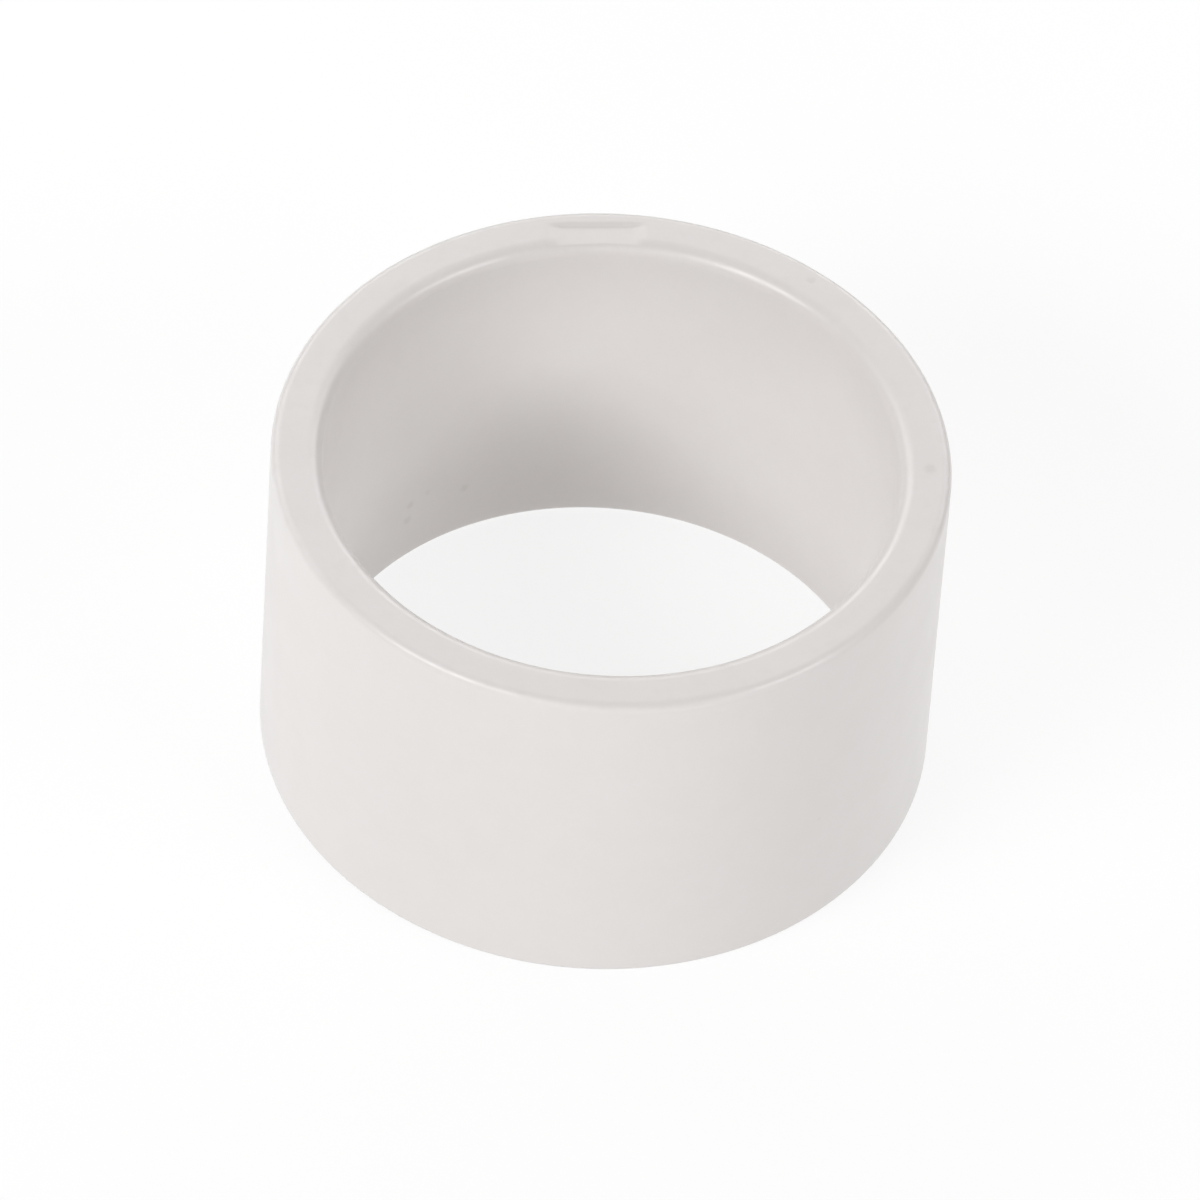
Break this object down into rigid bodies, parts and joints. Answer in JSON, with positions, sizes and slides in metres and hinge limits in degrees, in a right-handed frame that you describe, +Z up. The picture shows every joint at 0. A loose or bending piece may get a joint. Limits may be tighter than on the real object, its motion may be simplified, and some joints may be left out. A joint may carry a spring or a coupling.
{
  "type": "reducing coupling",
  "caption": "Plain round plastic reducing bush: it is cemented into a larger waste pipe's socket and takes a smaller waste pipe in its rounded-lip bore.",
  "frame": {"origin": "centre of the lower rim's plane, on the ring's axis", "axes": "+Z up the axis, from the end that goes into the larger socket to the lead-in end that takes the smaller pipe; the gate pocket in the upper rim is at about +Y"},
  "size_m": [0.043, 0.043, 0.0249],
  "materials": {
    "white_plastic": "smooth moulded, soft gloss, slightly warm white"
  },
  "bodies": {
    "root": {"reducer_ring": "white_plastic"}
  },
  "joints": []
}
